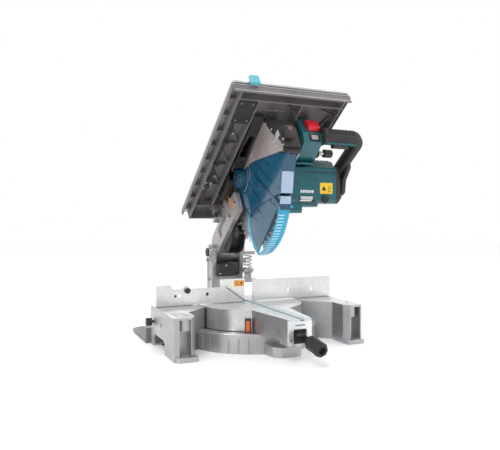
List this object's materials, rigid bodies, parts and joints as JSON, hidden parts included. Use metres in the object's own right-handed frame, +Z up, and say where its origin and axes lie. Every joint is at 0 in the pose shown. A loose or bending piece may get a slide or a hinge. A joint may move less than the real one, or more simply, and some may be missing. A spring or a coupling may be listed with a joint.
{
  "type": "table-top mitre saw",
  "caption": "Compound mitre saw with an upper saw table: slotted turntable, split fence, sprung tilting arm, guarded blade, side motor and cross handle.",
  "frame": {"origin": "on the plane the feet stand on, at the middle of the four bench bolt holes, under the turntable's axis", "axes": "+X to the operator's right, -Y towards the operator, +Z up; the head is raised, the mitre and bevel are at zero"},
  "size_m": [0.612, 0.6479, 0.7222],
  "materials": {
    "cast_alu": "as cast, lightly bead blasted",
    "machined_alu": "machined and polished",
    "scale_plate": "brushed plate",
    "table_alu": "cast, machined on top",
    "arm_paint": "grey enamel",
    "steel": "bright steel",
    "zinc_steel": "zinc plated",
    "blade_steel": "ground",
    "white_paint": "white enamel",
    "case_metal": "grey enamel",
    "black_plastic": "moulded, fine texture",
    "grip_rubber": "soft-touch",
    "cable_rubber": "smooth",
    "teal_plastic": "moulded, slight sheen",
    "clamp_teal": "moulded",
    "red_plastic": "gloss",
    "orange_plastic": "moulded",
    "kerf_plastic": "pale, slightly milky",
    "guard_blue": "clear tinted polycarbonate",
    "guard_cyan": "clear tinted polycarbonate",
    "cover_clear": "clear polycarbonate",
    "copper_core": "laminations and windings"
  },
  "bodies": {
    "base": {"base_casting": "cast_alu", "rear_feet": "arm_paint", "mitre_scale": "scale_plate", "turntable_bolt": "zinc_steel", "holder_knobs": "zinc_steel", "fence_right": "machined_alu", "fence_left": "machined_alu", "fence_bolts": "zinc_steel", "sub_fence_pivot": "zinc_steel"},
    "sub_fence": {"sub_fence": "white_paint"},
    "turntable": {"turntable": "cast_alu", "kerf_boards": "kerf_plastic", "mitre_pointer": "orange_plastic", "bevel_hinge_pin": "steel"},
    "mitre_grip": {"mitre_grip": "grip_rubber"},
    "mitre_lock_lever": {"mitre_lock_lever": "black_plastic"},
    "bevel_lever": {"bevel_lever": "black_plastic"},
    "bevel_bracket": {"bevel_bracket": "cast_alu", "bevel_scale": "scale_plate", "stop_box": "black_plastic", "stop_bolts": "zinc_steel", "pivot_shaft": "steel", "spring_seat": "arm_paint", "return_spring": "steel"},
    "stop_pin": {"stop_pin": "zinc_steel"},
    "head": {"head_arm": "arm_paint", "blade_case": "case_metal", "upper_cover": "black_plastic", "clear_guard": "guard_blue", "guard_hub": "black_plastic", "nose_cover": "black_plastic", "laser_unit": "black_plastic", "chip_chute": "black_plastic", "lift_posts": "steel", "riving_knife": "steel", "gear_case": "teal_plastic", "stator": "copper_core", "motor_housing": "teal_plastic", "motor_cap": "black_plastic", "brush_caps": "black_plastic", "switch_box": "teal_plastic", "d_handle": "grip_rubber", "switch_cable": "cable_rubber"},
    "blade": {"blade": "blade_steel", "flanges": "steel", "arbor_bolt": "zinc_steel", "spindle": "steel"},
    "armature": {"armature": "copper_core"},
    "lower_guard": {"lower_guard": "guard_cyan"},
    "trigger": {"trigger": "black_plastic"},
    "power_flap": {"power_flap": "red_plastic"},
    "start_switch": {"start_switch": "black_plastic"},
    "lift_knob": {"lift_knob": "black_plastic"},
    "table": {"table_top": "table_alu", "table_insert": "machined_alu", "table_frame": "table_alu", "cable_cover": "black_plastic", "underside_cable": "cable_rubber"},
    "rip_fence": {"rip_fence": "clamp_teal"},
    "top_cover": {"top_cover": "cover_clear"}
  },
  "joints": [
    {"name": "mitre_swivel", "type": "hinge", "parent": "base", "child": "turntable", "pos_m": [0, 0, 0.05], "axis": [0, 0, 1], "range_deg": [-45, 45]},
    {"name": "sub_fence_flip", "type": "hinge", "parent": "base", "child": "sub_fence", "pos_m": [-0.193, 0.012, 0.153], "axis": [0, -1, 0], "range_deg": [0, 150]},
    {"name": "mitre_grip_turn", "type": "hinge", "parent": "turntable", "child": "mitre_grip", "pos_m": [0.016, -0.3, 0.062], "axis": [0, -0.9848, -0.174], "range_deg": [0, 120]},
    {"name": "mitre_lever_press", "type": "hinge", "parent": "turntable", "child": "mitre_lock_lever", "pos_m": [-0.006, -0.3, 0.07], "axis": [1, 0, 0], "range_deg": [0, 10], "stiffness_Nm_per_rad": 0.6, "springref_deg": -17.19},
    {"name": "bevel_lever_turn", "type": "hinge", "parent": "turntable", "child": "bevel_lever", "pos_m": [0, 0.246, 0.11], "axis": [0, 1, 0], "range_deg": [-35, 35]},
    {"name": "bevel_tilt", "type": "hinge", "parent": "turntable", "child": "bevel_bracket", "pos_m": [0, 0.2, 0.11], "axis": [0, -1, 0], "range_deg": [0, 45]},
    {"name": "stop_pin_pull", "type": "slide", "parent": "bevel_bracket", "child": "stop_pin", "axis": [1, 0, 0], "range_m": [0, 0.012]},
    {"name": "chop", "type": "hinge", "parent": "bevel_bracket", "child": "head", "pos_m": [0, 0.2, 0.248], "axis": [1, 0, 0], "range_deg": [0, 36], "stiffness_Nm_per_rad": 30, "springref_deg": -91.67, "deforming": ["return_spring"]},
    {"name": "guard_swing", "type": "hinge", "parent": "head", "child": "lower_guard", "pos_m": [0, -0.056, 0.432], "axis": [1, 0, 0], "range_deg": [-74, 0]},
    {"name": "blade_spin", "type": "hinge", "parent": "head", "child": "blade", "pos_m": [0, -0.056, 0.432], "axis": [1, 0, 0], "continuous": true},
    {"name": "armature_spin", "type": "hinge", "parent": "head", "child": "armature", "pos_m": [0, -0.08355, 0.4637], "axis": [1, 0, 0], "continuous": true},
    {"name": "trigger_pull", "type": "slide", "parent": "head", "child": "trigger", "axis": [0, 0, 1], "range_m": [0, 0.006], "stiffness_N_per_m": 400, "springref_m": -0.004},
    {"name": "flap_lift", "type": "hinge", "parent": "head", "child": "power_flap", "pos_m": [0.095, -0.18159, 0.62513], "axis": [-1, 0, 0], "range_deg": [0, 35]},
    {"name": "switch_rock", "type": "hinge", "parent": "head", "child": "start_switch", "pos_m": [0.095, -0.21234, 0.57575], "axis": [1, 0, 0], "range_deg": [-8, 8]},
    {"name": "lift_knob_turn", "type": "hinge", "parent": "head", "child": "lift_knob", "pos_m": [0.166, -0.13, 0.547], "axis": [1, 0, 0], "range_deg": [-90, 90]},
    {"name": "table_lift", "type": "slide", "parent": "head", "child": "table", "axis": [0, 0.5878, 0.809], "range_m": [0, 0.025]},
    {"name": "rip_fence_slide", "type": "slide", "parent": "table", "child": "rip_fence", "axis": [1, 0, 0], "range_m": [-0.04, 0.05]},
    {"name": "top_cover_lift", "type": "hinge", "parent": "table", "child": "top_cover", "pos_m": [0, 0.18696, 0.44783], "axis": [-1, 0, 0], "range_deg": [0, 60]}
  ],
  "couplings": [
    {"joint": "guard_swing", "follows": "chop", "ratio": -2.0278},
    {"joint": "armature_spin", "follows": "blade_spin", "ratio": -3}
  ]
}
